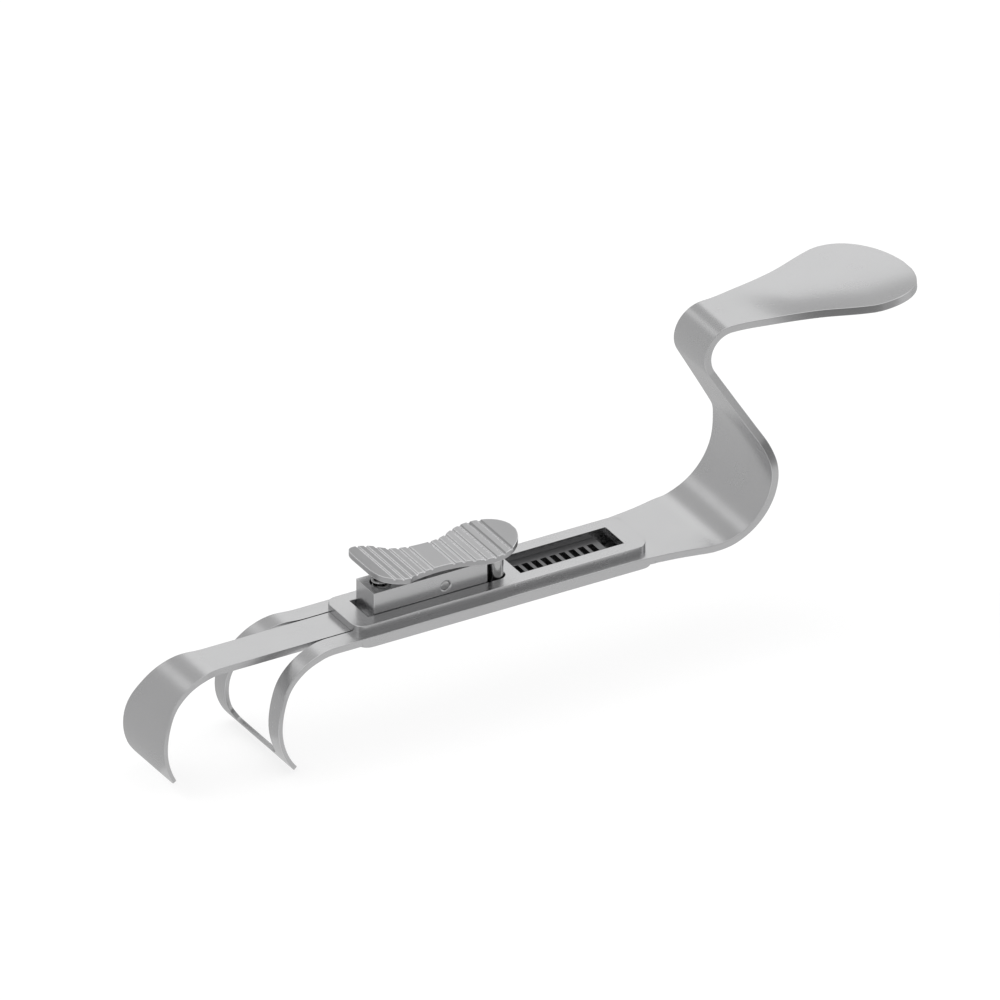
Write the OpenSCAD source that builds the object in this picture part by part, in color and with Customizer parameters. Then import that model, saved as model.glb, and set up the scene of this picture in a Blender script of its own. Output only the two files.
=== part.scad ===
// Cheek retractor with a fixed open hook of two joined prongs and a sliding centre blade.
// A ratchet under the thumb lever locks the blade at each rack slot.
// Lengths are in millimetres, angles in degrees.
// X runs from the hooks to the handle, Z is up, and the part is symmetric about Y = 0.
// The origin is the centre of the bottom plate's underside.

/* [Deck plates] */
// Length of the cover and of the bottom plate
plate_length = 84.6; // [80:0.1:90]
// Width of the cover plate
cover_width = 16.8; // [16:0.1:19]
// Thickness of the cover plate
cover_t = 2.0; // [1.6:0.1:2.6]
// Radius of the corners of both plates
plate_corner_r = 3.2; // [1.5:0.1:4.5]
// Thickness of the base frame's sheet
frame_t = 2.0; // [1.6:0.1:2.6]
// Width of the base frame under the cover
frame_width = 21.8; // [21:0.1:25]
// Thickness of the bottom plate
bottom_t = 1.0; // [0.8:0.1:1.6]

/* [Openings in the cover] */
// Rim left at each end of the cover
cover_rim = 5.4; // [4.5:0.1:6.5]
// Width of the lever slot and of the window
cover_slot_width = 9.3; // [9.2:0.05:9.8]
// Bar left between the lever slot and the window
bridge_width = 3.4; // [2.6:0.1:5]

/* [Slider and rack] */
// Width of the slider's shank
shank_width = 10.6; // [9.5:0.1:11.4]
// Length of the shank in front of the cover, at rest
shank_reach = 39.7; // [36:0.1:48]
// Distance between neighbouring rack slots
rack_spacing = 2.69; // [2.4:0.01:2.72]
// Length of one rack slot along the slider
rack_slot_length = 1.65; // [1.6:0.05:1.8]
// Width of one rack slot across the slider
rack_slot_width = 4.3; // [3:0.1:6]
// Slots in front of the pawl at rest
slots_in_front = 2; // [1:1:3]
// Slots behind the pawl at rest
slots_behind = 11; // [6:1:11]
// Solid tail behind the last rack slot
slider_tail = 1.9; // [1.5:0.1:2.4]
// Clearance between the slider and each plate above and below it
slider_gap = 0.05; // [0.03:0.01:0.1]
// Clearance between the shank and each rail of the frame
rail_gap = 0.2; // [0.1:0.05:0.4]

/* [Hooks] */
// Outside radius of the bend of the blade and of the prongs
hook_r = 17.05; // [14:0.05:20]
// Angle that the centre blade bends through
blade_turn = 124; // [100:1:130]
// Half of the centre blade's width at its tip
blade_tip_half = 11.0; // [9.5:0.1:12]
// Thickness of the centre blade at its tip
blade_tip_t = 1.0; // [0.8:0.05:1.5]
// Radius of the corners of the centre blade's tip
blade_corner_r = 2.2; // [1:0.1:3]
// Distance from the cover to the start of the prongs' bend
prong_root = 10.0; // [9:0.1:16]
// Width of one prong
prong_width = 5.2; // [4:0.1:6]
// Angle at which the opening between the prongs ends
window_turn = 124; // [110:1:130]
// Radius of the corners of that opening
window_corner_r = 2.5; // [1:0.1:3]
// Width of the bar that joins the two prongs at their tips
crossbar_width = 3.5; // [3.3:0.1:5]
// Radius of the outer corners of that bar
crossbar_corner_r = 3.0; // [1.5:0.1:3.2]
// Thickness of the prongs and of the bar at their tips
prong_tip_t = 1.2; // [0.9:0.05:1.6]
// Clearance between the blade's outline and the prongs' inner outline
fork_gap = 0.5; // [0.4:0.1:1.5]
// Size of the eased edges of the hooks and the handle
edge_ease = 0.3; // [0.1:0.05:0.35]

/* [Handle] */
// Distance from the cover's rear end to the start of the handle's bend
neck_length = 14.9; // [12:0.1:24]
// Half of the handle's width at its lower bend
grip_half = 15.0; // [13:0.1:17]
// Inside radius of the lower bend
lower_bend_r = 16.5; // [13:0.5:20]
// Outside radius of the upper bend
upper_bend_r = 8.25; // [6:0.25:11]
// Angle that the handle turns up and back through
handle_turn = 120.5; // [110:0.5:128]
// Height of the spoon above the base frame
handle_rise = 57.5; // [52:0.5:68]
// Half of the neck's width below the spoon
neck_half = 7.4; // [6:0.1:9]
// Distance from the upper bend to the spoon's end
spoon_reach = 55.0; // [46:0.1:64]
// Radius of the spoon's rounded end
spoon_r = 17.0; // [14:0.5:20]
// Depth of the spoon's dish
spoon_dish = 1.8; // [0.5:0.1:3]
// Depth that the spoon's end droops
spoon_droop = 2.0; // [0:0.1:3]

/* [Lever] */
// Length of the bearing block
block_length = 32.8; // [32:0.1:34]
// Gap between the lever slot's front end and the bearing block
block_front_gap = 1.7; // [1:0.1:2]
// Height of the bearing block above the cover
block_height = 6.0; // [5:0.1:6.4]
// Clearance between the bearing block and each side of its slot
block_gap = 0.2; // [0.1:0.05:0.3]
// Thickness of the flange that holds the block under the cover
flange_t = 0.8; // [0.6:0.05:1]
// Width of the flange on each side of the block
flange_reach = 2.2; // [1.9:0.05:2.3]
// Diameter of the pivot pin
pin_d = 2.5; // [2:0.1:3]
// Height of the pivot pin above the base frame
pin_height = 4.33; // [4:0.05:5]
// Distance from the block's front face to the pivot pin
pin_back = 20.8; // [18:0.1:22]
// Radial clearance of the lever on its pin
pivot_clearance = 0.05; // [0.02:0.01:0.1]
// Radial clearance of the pin in the bearing block
pin_seat_clearance = 0.02; // [0.01:0.01:0.05]
// Thickness of the lug under the lever
lug_t = 3.2; // [2.4:0.1:4]
// Clearance between the lug and each cheek of the bearing block
lug_gap = 0.15; // [0.1:0.05:0.3]
// Thickness of the lever's pad
pad_t = 1.65; // [1.3:0.05:2]
// Distance that the pad's front end reaches past the bearing block
pad_nose = 0.95; // [0.3:0.05:2]
// Length of the sloped face at the pad's front end
pad_front_slope = 1.3; // [0.6:0.1:1.6]
// Distance that the pad's rear end reaches past the pawl's leg
pad_overhang = 4.5; // [3.5:0.1:6]
// Radius of the pad's rear end
pad_rear_r = 9.0; // [8:0.1:10]
// Half of the pad's width at its front end
pad_front_half = 9.75; // [8.5:0.05:11]
// Size of the pad's rounded front corners across the pad
pad_corner = 2.35; // [1.5:0.05:3]
// Half of the pad's width at its waist
pad_waist_half = 6.6; // [5:0.1:7.5]
// Height of the pad's waist above the base frame
pad_height = 11.4; // [11.2:0.1:13]
// Height that the pad's front end rises above its waist
pad_front_rise = 3.45; // [2.5:0.05:4.5]
// Height that the pad's rear end rises above its waist
pad_rear_rise = 1.75; // [1:0.05:2.5]
// Distance between neighbouring grip grooves of the pad
groove_spacing = 2.57; // [2.4:0.01:2.8]
// Number of grooves in front of the plain land over the pivot
front_grooves = 6; // [4:1:6]
// Number of grooves behind that land
rear_grooves = 7; // [5:1:7]
// Distance between the two grooves beside that land
groove_land = 6.3; // [5:0.1:7]
// Radius of a grip groove
groove_r = 0.6; // [0.4:0.05:0.8]
// Depth of a grip groove
groove_depth = 0.45; // [0.2:0.05:0.6]

/* [Pawl] */
// Clearance between the bearing block and the pawl's leg
leg_front_gap = 1.575; // [1.4:0.025:1.7]
// Clearance between the pawl's leg and the rear end of its slot in the cover
leg_back_gap = 0.475; // [0.45:0.025:1.5]
// Size of the pawl's leg along the slider
pawl_length = 4.05; // [3:0.05:4.2]
// Width of the pawl's leg across the slider
pawl_width = 8.5; // [6:0.1:8.9]
// Size of the pawl's tooth along the slider
tooth_length = 0.9; // [0.7:0.05:1]
// Clearance between the pawl's tooth and the rack slot's front wall
tooth_gap = 0.1; // [0.05:0.01:0.2]
// Clearance between the tooth and each side of the rack slot
tooth_side_gap = 0.2; // [0.1:0.05:0.4]
// Depth of the tooth in the rack slot
tooth_depth = 1.2; // [0.8:0.05:1.4]
// Clearance between the pawl's leg and the top of the slider
leg_gap = 0.2; // [0.1:0.05:0.4]

/* [Spring] */
// Diameter of the spring's hole in the bearing block
spring_hole_d = 5.9; // [5.5:0.1:6.2]
// Depth of the spring's hole
spring_hole_depth = 5.0; // [4:0.1:6]
// Distance from the block's front face to the spring's centre
spring_back = 4.7; // [4.4:0.1:6]
// Outside diameter of the spring
spring_d = 5.2; // [4:0.1:5.4]
// Diameter of the spring's wire
wire_d = 0.7; // [0.5:0.05:0.8]
// Number of the spring's turns
spring_turns = 5; // [3:1:6]
// Clearance between the spring and what it presses on
spring_gap = 0.1; // [0.05:0.05:0.2]

/* [Screws] */
// Diameter of the plate screws
screw_d = 1.6; // [1.4:0.1:1.8]
// Diameter of the plate screws' heads
screw_head_d = 2.8; // [2.4:0.1:3]
// Height of the countersunk part of a screw's head
screw_head_h = 0.8; // [0.6:0.05:0.8]
// Depth of the screws' threads in the cover
thread_depth = 1.3; // [1:0.1:1.5]
// Distance from the middle plane to each row of screws
screw_row = 7.0; // [6.9:0.05:7.2]
// Radial clearance of the screws in their holes
screw_gap = 0.02; // [0.01:0.01:0.05]

/* [Hidden] */
$fn = 64;
steel = [0.74, 0.75, 0.77];
dark_steel = [0.55, 0.56, 0.58];

// Heights of the stacked plates
deck_z = bottom_t + frame_t;
cover_top_z = deck_z + cover_t;
block_top_z = cover_top_z + block_height;

// Places along X
cover_front = -plate_length / 2;
cover_back = plate_length / 2;
slot_front = cover_front + cover_rim;
block_front = slot_front + block_front_gap;
block_back = block_front + block_length;
pawl_x = block_back + leg_front_gap + pawl_length / 2;
slot_back = pawl_x + pawl_length / 2 + leg_back_gap;
window_front = slot_back + bridge_width;
window_back = cover_back - cover_rim;
pin_x = block_front + pin_back;
pin_z = deck_z + pin_height;
spring_x = block_front + spring_back;

// Length of a tool body that passes right across the lever
across = 4 * pad_front_half;

// The rack is in mesh with the pawl at rest
tooth_front = pawl_x - pawl_length / 2 + (pawl_length - rack_slot_length) / 2 + tooth_gap;
rack_x = tooth_front - tooth_gap + rack_slot_length / 2;
slider_t = frame_t - 2 * slider_gap;
slider_top_z = deck_z - slider_gap;
slider_back = rack_x + slots_behind * rack_spacing + rack_slot_length / 2 + slider_tail;
rail_half = shank_width / 2 + rail_gap;
retract = slots_in_front * rack_spacing;
rail_end = slider_back + retract + 1.0;

// Screws sit in the cover's two rims and in its bridge
screw_places = [cover_front + cover_rim * 0.6, slot_back + bridge_width / 2, cover_back - cover_rim * 0.3];

// Steps of the bent sheets, and how far a cutter passes a face
bend_step = 4;
cut = 0.5;

// Smooth curve through a list of [position, value] pairs
function slope_at(t, i) =
    i == 0 || i == len(t) - 1 ? 0 : (t[i + 1][1] - t[i - 1][1]) / (t[i + 1][0] - t[i - 1][0]);
function span_of(t, x, i = 0) = i >= len(t) - 2 || x < t[i + 1][0] ? i : span_of(t, x, i + 1);
function curve(t, x) =
    x <= t[0][0] ? t[0][1] : x >= t[len(t) - 1][0] ? t[len(t) - 1][1] :
    let (i = span_of(t, x), w = t[i + 1][0] - t[i][0], f = (x - t[i][0]) / w,
         a = slope_at(t, i) * w, b = slope_at(t, i + 1) * w)
    (2 * f * f * f - 3 * f * f + 1) * t[i][1] + (f * f * f - 2 * f * f + f) * a
    + (3 * f * f - 2 * f * f * f) * t[i + 1][1] + (f * f * f - f * f) * b;

// Half width of the centre blade by its angle of bend
function blade_half(a) = shank_width / 2 + (blade_tip_half - shank_width / 2) * curve([
    [0, 0], [12, 0.18], [30, 0.32], [50, 0.48], [70, 0.74], [85, 0.86], [blade_turn, 1]], a);

// Thickness of a hook by its angle of bend: most of the taper lies in the first half
function hook_t(a, turn, root_t, tip_t) =
    tip_t + (root_t - tip_t) * curve([[0, 1], [turn / 4, 0.6], [turn / 2, 0.2], [turn, 0]], a);

// Inner edge of the prongs: the blade's outline and a gap that opens over the root
function prong_inner(a) = blade_half(a) + curve([[0, rail_gap], [15, fork_gap]], a);

// Half width of the handle by its angle of bend, then along its straight and its upper bend
straight_length = (handle_rise - (lower_bend_r + upper_bend_r) * (1 - cos(handle_turn))) / sin(handle_turn);
function lower_half(a) = curve([
    [0, grip_half - 1.0], [20, grip_half - 0.45], [75, grip_half], [97, grip_half - 0.4],
    [handle_turn, grip_half - 2.9]], a);
function straight_half(f) = curve([
    [-0.4, grip_half - 1.1], [0, grip_half - 2.9], [1, neck_half + 0.6], [1.4, neck_half]], f);
function upper_half(f) = curve([[-0.6, neck_half + 1.6], [0, neck_half + 0.6], [1, neck_half]], f);
function spoon_half(s) = let (m = spoon_reach - spoon_r) s > m
    ? sqrt(max(0, spoon_r * spoon_r - (s - m) * (s - m)))
    : curve([[0, neck_half], [0.27 * m, neck_half + 0.16 * (spoon_r - neck_half)],
             [0.6 * m, neck_half + 0.49 * (spoon_r - neck_half)],
             [0.86 * m, neck_half + 0.87 * (spoon_r - neck_half)], [m, spoon_r]], s);
function dish_at(s) = curve([[0.35 * spoon_reach, 0], [0.7 * spoon_reach, spoon_dish],
                             [spoon_reach, 0.25 * spoon_dish]], s);

// The spoon's end droops over the last part of its reach
droop_length = 0.3 * spoon_reach;
function droop_part(s) = max(0, s - spoon_reach + droop_length) / droop_length;

// A station of a bent sheet is [x, z, angle, low y, high y, dish, edge ease, thickness]
function ring(s, n) =
    let (nx = -sin(s[2]), nz = cos(s[2]), lo = s[3], hi = s[4], e = s[6], t = s[7],
         top = [for (k = [0:n]) let (f = k / n) [lo + e + (hi - lo - 2 * e) * f, -s[5] * (1 - pow(2 * f - 1, 2))]],
         low = [for (k = [n:-1:0]) [top[k][0], top[k][1] - t]],
         rim = concat(top, [[hi, -e], [hi, e - t]], low, [[lo, e - t], [lo, -e]]))
    [for (p = rim) [s[0] + p[1] * nx, p[0], s[1] + p[1] * nz]];

// Sheet below a line of stations, n strips across
module bent_sheet(stations, n = 1) {
    m = 2 * n + 6;
    last = (len(stations) - 1) * m;
    polyhedron(
        points = [for (s = stations) each ring(s, n)],
        faces = concat(
            [[for (j = [m - 1:-1:0]) j]],
            [for (i = [0:len(stations) - 2]) for (j = [0:m - 1]) let (a = i * m + j, b = i * m + (j + 1) % m)
                each [[a, b, b + m], [a, b + m, a + m]]],
            [[for (j = [0:m - 1]) last + j]]),
        convexity = 8);
}

// The edges are eased fully once the sheet has bent a little
function ease_at(a) = edge_ease * max(0.2, min(1, a / 12));

// Angles of a hook's stations, from one end back to its start, closer together over a corner of radius r
corner_steps = 5;
function turn_of(length) = length / hook_r * 180 / PI;
function hook_angles(turn, r, start = 0) =
    let (corner = turn_of(r), n = ceil((turn - corner - start) / bend_step))
    concat([for (k = [0:corner_steps]) turn - corner * (1 - cos(90 * k / corner_steps))],
           [for (i = [n - 1:-1:0]) start + (turn - corner - start) * i / n]);
function tip_trim(a, turn, r) =
    let (d = (turn - a) / turn_of(1)) d >= r ? 0 : r - sqrt(max(0, r * r - (r - d) * (r - d)));
function hook_station(x, z, a, lo, hi, e, t) = [x - hook_r * sin(a), z - hook_r * (1 - cos(a)), a, lo, hi, 0, e, t];

// Flat plate with round corners, its centre on the axis
module round_plate(length, width, r, t) linear_extrude(t) {
    square([length - 2 * r, width], center = true);
    square([length, width - 2 * r], center = true);
    for (x = [-1, 1], y = [-1, 1]) translate([x * (length / 2 - r), y * (width / 2 - r)]) circle(r);
}

module at_screws() for (x = screw_places, y = [-1, 1]) translate([x, y * screw_row, 0]) children();

// Plan of the flat part of the frame: the deck, the roots of the prongs and the neck
function neck_outline(f) = frame_width / 2 + (lower_half(0) - frame_width / 2) * curve([
    [-0.4, 0], [-0.12, 0.11], [0.41, 0.435], [0.8, 0.81], [1, 1]], f);
module deck_plan() {
    fork = cover_front - prong_root;
    root_outer = prong_inner(0) + prong_width;
    side = [for (i = [-4:10]) [cover_back + neck_length * i / 10, neck_outline(i / 10)]];
    half = concat([[fork, root_outer], [cover_front, frame_width / 2]], side);
    difference() {
        polygon(concat(half, [for (i = [len(half) - 1:-1:0]) [half[i][0], -half[i][1]]]));
        translate([fork - cut, -rail_half]) square([rail_end - fork + cut, 2 * rail_half]);
    }
}

module prong() bent_sheet([for (a = hook_angles(window_turn, window_corner_r))
    hook_station(cover_front - prong_root, deck_z, a,
        prong_inner(a) - tip_trim(a, window_turn, window_corner_r), prong_inner(a) + prong_width,
        ease_at(a), hook_t(a, window_turn, frame_t, prong_tip_t))]);

// Bar that joins the two prongs at their tips
module crossbar() {
    turn = window_turn + turn_of(crossbar_width);
    r = crossbar_corner_r;
    bent_sheet([for (a = hook_angles(turn, r, window_turn))
        let (c = tip_trim(a, turn, r), half = prong_inner(a) + prong_width - c)
        hook_station(cover_front - prong_root, deck_z, a, -half, half, ease_at(a) * (1 - 0.5 * c / r), prong_tip_t)]);
}

module handle() {
    x0 = cover_back + neck_length;
    a1 = handle_turn;
    x1 = x0 + lower_bend_r * sin(a1);
    z1 = deck_z + lower_bend_r * (1 - cos(a1));
    x2 = x1 + straight_length * cos(a1);
    z2 = z1 + straight_length * sin(a1);
    cx = x2 + upper_bend_r * sin(a1);
    cz = z2 - upper_bend_r * cos(a1);
    tip = spoon_reach - spoon_r;
    e = edge_ease;
    t = frame_t;
    lower = [for (i = [0:24]) let (a = a1 * i / 24)
        [x0 + lower_bend_r * sin(a), deck_z + lower_bend_r * (1 - cos(a)), a,
         -lower_half(a), lower_half(a), 0, ease_at(a), t]];
    straight = [for (i = [1:3]) let (f = i / 4, w = straight_half(f))
        [x1 + (x2 - x1) * f, z1 + (z2 - z1) * f, a1, -w, w, 0, e, t]];
    upper = [for (i = [0:15]) let (f = i / 15, a = a1 * (1 - f), w = upper_half(f))
        [cx - upper_bend_r * sin(a), cz + upper_bend_r * cos(a), a, -w, w, 0, e, t]];
    reach = concat([for (i = [1:12]) tip * i / 12], [for (i = [1:9]) tip + spoon_r * sin(9.8 * i)]);
    spoon = [for (s = reach) let (w = spoon_half(s), f = droop_part(s))
        [cx + s, deck_z + handle_rise - spoon_droop * f * f, -atan(2 * spoon_droop * f / droop_length),
         -w, w, dish_at(s) * (s > tip ? w / spoon_r : 1), e, t]];
    bent_sheet(concat(lower, straight, upper, spoon), 6);
}

module base_frame() color(steel) {
    difference() {
        translate([0, 0, bottom_t]) linear_extrude(frame_t) deck_plan();
        at_screws() translate([0, 0, -cut]) cylinder(r = screw_d / 2 + screw_gap, h = cover_top_z);
    }
    for (side = [0, 1]) mirror([0, side, 0]) prong();
    crossbar();
    handle();
}

module slider_blade() color(steel) {
    bend_x = cover_front - shank_reach;
    difference() {
        translate([bend_x, -shank_width / 2, slider_top_z - slider_t])
            cube([slider_back - bend_x, shank_width, slider_t]);
        for (i = [-slots_in_front:slots_behind])
            translate([rack_x + i * rack_spacing - rack_slot_length / 2, -rack_slot_width / 2, -cut])
                cube([rack_slot_length, rack_slot_width, cover_top_z]);
    }
    r = blade_corner_r;
    bent_sheet([for (a = hook_angles(blade_turn, r))
        let (c = tip_trim(a, blade_turn, r), half = blade_half(a) - c)
        hook_station(bend_x, slider_top_z, a, -half, half, ease_at(a) * (1 - 0.5 * c / r),
            hook_t(a, blade_turn, slider_t, blade_tip_t))]);
}

module cover_plate() color(steel) translate([0, 0, deck_z]) difference() {
    round_plate(plate_length, cover_width, plate_corner_r, cover_t);
    translate([slot_front, -cover_slot_width / 2, -cut])
        cube([slot_back - slot_front, cover_slot_width, cover_t + 2 * cut]);
    translate([window_front, -cover_slot_width / 2, -cut])
        cube([window_back - window_front, cover_slot_width, cover_t + 2 * cut]);
    flange_pocket();
    at_screws() translate([0, 0, -cut]) cylinder(r = screw_d / 2 + screw_gap, h = thread_depth + cut);
}

// Recess under the cover that takes the bearing block's flange
flange_half = cover_slot_width / 2 - block_gap + flange_reach;
flange_inset = 2.0;
module flange_pocket()
    translate([block_front + flange_inset - block_gap, -flange_half - block_gap, -cut])
        cube([block_length - 2 * (flange_inset - block_gap), 2 * (flange_half + block_gap), cut + flange_t + slider_gap]);

module bottom_plate() color(dark_steel) difference() {
    round_plate(plate_length, frame_width, plate_corner_r, bottom_t);
    at_screws() {
        translate([0, 0, -cut]) cylinder(r = screw_d / 2 + screw_gap, h = bottom_t + 2 * cut);
        translate([0, 0, -cut]) cylinder(r = screw_head_d / 2 + screw_gap, h = cut);
        cylinder(r1 = screw_head_d / 2 + screw_gap, r2 = screw_d / 2 + screw_gap, h = screw_head_h);
    }
}

module bearing_block() color(steel) difference() {
    width = cover_slot_width - 2 * block_gap;
    union() {
        translate([block_front, -width / 2, deck_z]) cube([block_length, width, block_top_z - deck_z]);
        translate([block_front + flange_inset, -flange_half, deck_z])
            cube([block_length - 2 * flange_inset, 2 * flange_half, flange_t]);
    }
    translate([spring_x, 0, block_top_z - spring_hole_depth]) cylinder(d = spring_hole_d, h = spring_hole_depth + cut);
    lug_cut = lug_r + lug_gap + 0.6;
    translate([pin_x - lug_cut, -lug_t / 2 - lug_gap, pin_z - lug_r - lug_gap])
        cube([2 * lug_cut, lug_t + 2 * lug_gap, block_height + cover_t]);
    translate([pin_x, 0, pin_z]) rotate([90, 0, 0])
        cylinder(r = pin_d / 2 + pin_seat_clearance, h = width + 2 * cut, center = true);
    for (side = [-1, 1]) translate([pin_x, side * (width / 2 - 0.25), pin_z]) rotate([-90 * side, 0, 0])
        cylinder(r1 = pin_d / 2 + pin_seat_clearance, r2 = pin_d / 2 + 0.35, h = 0.25 + 0.01);
}

// Lug that hangs the lever on its pin
lug_r = pin_height - 0.7;
module lever_lug() color(steel) intersection() {
    translate([pin_x, lug_t / 2, pin_z]) rotate([90, 0, 0]) difference() {
        linear_extrude(lug_t) {
            circle(lug_r);
            translate([-lug_r, 0]) square([2 * lug_r, pad_height]);
        }
        translate([0, 0, -cut]) cylinder(r = pin_d / 2 + pivot_clearance, h = lug_t + 2 * cut);
    }
    under_pad(0.02);
}

// The pad's ends and the centre of its round rear end, by the distance behind the pivot
pad_front = pin_back + pad_nose - pad_front_slope;
pad_tip = -pad_front - pad_front_slope;
pad_end = pawl_x + pawl_length / 2 + pad_overhang - pin_x;
pad_back = pad_end - pad_rear_r;

// Side line of the pad's top face, carried on past both ends
function pad_top(d) = deck_z + pad_height + curve([
    [-1.15 * pad_front, 1.26 * pad_front_rise], [-pad_front, pad_front_rise],
    [-0.88 * pad_front, 0.79 * pad_front_rise], [-0.72 * pad_front, 0.53 * pad_front_rise],
    [-0.455 * pad_front, 0.2 * pad_front_rise], [-0.1 * pad_front, 0.07 * pad_front_rise],
    [0.27 * pad_end, 0], [0.68 * pad_end, 0.37 * pad_rear_rise],
    [pad_end, pad_rear_rise], [1.1 * pad_end, 1.22 * pad_rear_rise]], d);
pad_steps = 24;
pad_line = [for (i = [0:pad_steps]) -pad_front + (pad_front + pad_end) * i / pad_steps];

// Body that runs across the lever, from a side view drawn by the distance behind the pivot
module across_lever() translate([pin_x, across / 2, 0]) rotate([90, 0, 0]) linear_extrude(across) children();

// Space below the pad, lowered by a gap
module under_pad(gap) across_lever() polygon(concat(
    [for (d = pad_line) [d, pad_top(d) - pad_t - gap]], [[pad_end, 0], [-pad_front, 0]]));

// Plan of the pad: blunt front end with round corners, waist, round rear end
corner_length = 1.64 * pad_corner;
function pad_half(d) = curve([
    [pad_tip + corner_length, pad_front_half], [-0.765 * pad_front, pad_front_half],
    [-0.455 * pad_front, pad_waist_half + 1.0], [-0.07 * pad_front, pad_waist_half - 0.1],
    [0.32 * pad_back, pad_waist_half + 0.4], [0.75 * pad_back, pad_rear_r - 0.4], [pad_back, pad_rear_r]], d);
module pad_plan() {
    first = pad_tip + corner_length;
    corner = [for (i = [0:6]) [first - corner_length * cos(15 * i), pad_front_half - pad_corner * (1 - sin(15 * i))]];
    edge = [for (i = [1:16]) let (d = first + (pad_back - first) * i / 16) [d, pad_half(d)]];
    rear = [for (i = [1:9]) [pad_back + pad_rear_r * sin(10 * i), pad_rear_r * cos(10 * i)]];
    half = concat([[pad_tip, 0]], corner, edge, rear);
    polygon(concat(half, [for (i = [len(half) - 2:-1:1]) [half[i][0], -half[i][1]]]));
}

// Grooves run across the pad, with a plain land over the pivot
groove_first = -pad_front + 1.07 * groove_spacing;
groove_places = [for (i = [0:front_grooves + rear_grooves - 1])
    groove_first + i * groove_spacing + (i < front_grooves ? 0 : groove_land - groove_spacing)];
module lever_pad() color(steel) difference() {
    intersection() {
        across_lever() polygon(concat(
            [for (d = pad_line) [d, pad_top(d)]],
            [for (i = [pad_steps:-1:0]) [pad_line[i], pad_top(pad_line[i]) - pad_t]],
            [[pad_tip, pad_top(-pad_front) - pad_t + 0.1]]));
        translate([pin_x, 0, deck_z]) linear_extrude(2 * pad_height) pad_plan();
    }
    for (d = groove_places) translate([pin_x + d, 0, pad_top(d) + groove_r - groove_depth])
        rotate([90, 0, 0]) cylinder(r = groove_r, h = across, center = true);
}

// Leg with round sides under the lever, and the tooth that drops into the rack
module pawl() color(steel) {
    leg_z = slider_top_z + leg_gap;
    r = pawl_length / 2;
    intersection() {
        translate([pawl_x, 0, leg_z]) linear_extrude(pad_height + 5) {
            square([pawl_length, pawl_width - 2 * r], center = true);
            for (y = [-1, 1]) translate([0, y * (pawl_width / 2 - r)]) circle(r);
        }
        under_pad(0.02);
    }
    width = rack_slot_width - 2 * tooth_side_gap;
    translate([tooth_front, -width / 2, slider_top_z - tooth_depth])
        cube([tooth_length, width, tooth_depth + leg_gap + 0.5]);
}

module pivot_pin() color(dark_steel) translate([pin_x, 0, pin_z]) rotate([90, 0, 0]) {
    flat = cover_slot_width / 2 - block_gap - 0.3;
    cylinder(d = pin_d, h = 2 * flat, center = true);
    for (side = [0, 1]) mirror([0, 0, side]) translate([0, 0, flat]) cylinder(r1 = pin_d / 2, r2 = pin_d / 2 - 0.35, h = 0.35);
}

// Coil with one closed turn at each end
module lever_spring() color(dark_steel) {
    low = block_top_z - spring_hole_depth + spring_gap + wire_d / 2;
    high = pad_top(spring_x + spring_d / 2 - pin_x) - pad_t - spring_gap - wire_d / 2;
    per_turn = 16;
    sides = 8;
    count = per_turn * spring_turns;
    radius = (spring_d - wire_d) / 2;
    points = [for (i = [0:count]) for (k = [0:sides - 1])
        let (a = 360 * i / per_turn, b = 360 * k / sides, r = radius + wire_d / 2 * cos(b),
             f = curve([[0, 0], [0.7 / spring_turns, 0.09], [1 - 0.7 / spring_turns, 0.91], [1, 1]], i / count))
        [spring_x + r * cos(a), r * sin(a), low + (high - low) * f + wire_d / 2 * sin(b)]];
    polyhedron(points = points, faces = concat(
        [[for (k = [0:sides - 1]) k]],
        [for (i = [0:count - 1]) for (k = [0:sides - 1])
            let (a = i * sides + k, b = i * sides + (k + 1) % sides)
            each [[a, a + sides, b + sides], [a, b + sides, b]]],
        [[for (k = [sides - 1:-1:0]) count * sides + k]]), convexity = 10);
}

module plate_screws() color(dark_steel) at_screws() difference() {
    union() {
        cylinder(d1 = screw_head_d, d2 = screw_d, h = screw_head_h);
        cylinder(d = screw_d, h = deck_z + thread_depth - 0.1);
    }
    translate([-screw_head_d / 2, -0.2, -cut]) cube([screw_head_d, 0.4, cut + 0.35]);
}

base_frame();
slider_blade();
cover_plate();
bottom_plate();
bearing_block();
lever_pad();
lever_lug();
pawl();
pivot_pin();
lever_spring();
plate_screws();
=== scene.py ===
"""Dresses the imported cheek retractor: bent sheets, ratchet, thumb lever and steel finishes."""

import logging
from dataclasses import dataclass, field, replace
from enum import Enum
from math import atan, cos, degrees, pi, radians, sin, sqrt
from typing import Callable, ClassVar

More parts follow.
